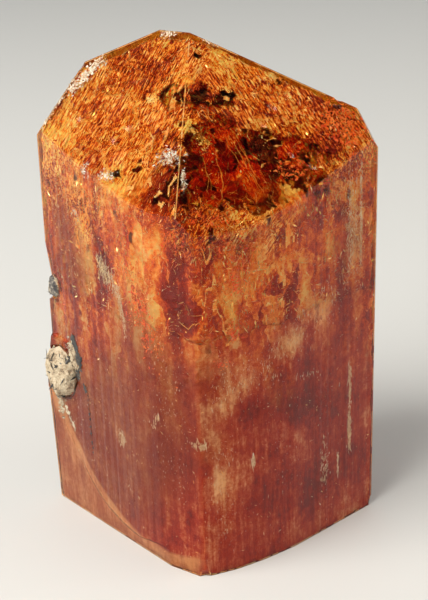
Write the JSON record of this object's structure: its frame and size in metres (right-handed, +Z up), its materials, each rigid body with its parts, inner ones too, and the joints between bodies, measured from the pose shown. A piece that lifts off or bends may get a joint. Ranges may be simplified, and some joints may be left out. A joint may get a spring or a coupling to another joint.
{
  "type": "topaz crystal",
  "caption": "Rough stubby topaz prism with a sloping pyramid end, a flat cleaved base and a patch of host rock on one edge.",
  "frame": {"origin": "middle of the base: the bottom centre of the crystal's bounding box, on the flat cleavage face", "axes": "+Z up along the prism (crystal axis c), +X towards the right prism edge (axis b), -Y towards the front prism edge (axis a)"},
  "size_m": [0.0328, 0.0286, 0.0482],
  "materials": {
    "topaz": "clear orange to red-brown crystal with inner veils, striated sides, satin to glossy",
    "host_rock": "cream, crumbly, with black mineral specks, matt"
  },
  "bodies": {
    "root": {"crystal": "topaz", "rock_patch": "host_rock", "rock_fleck": "host_rock"}
  },
  "joints": []
}
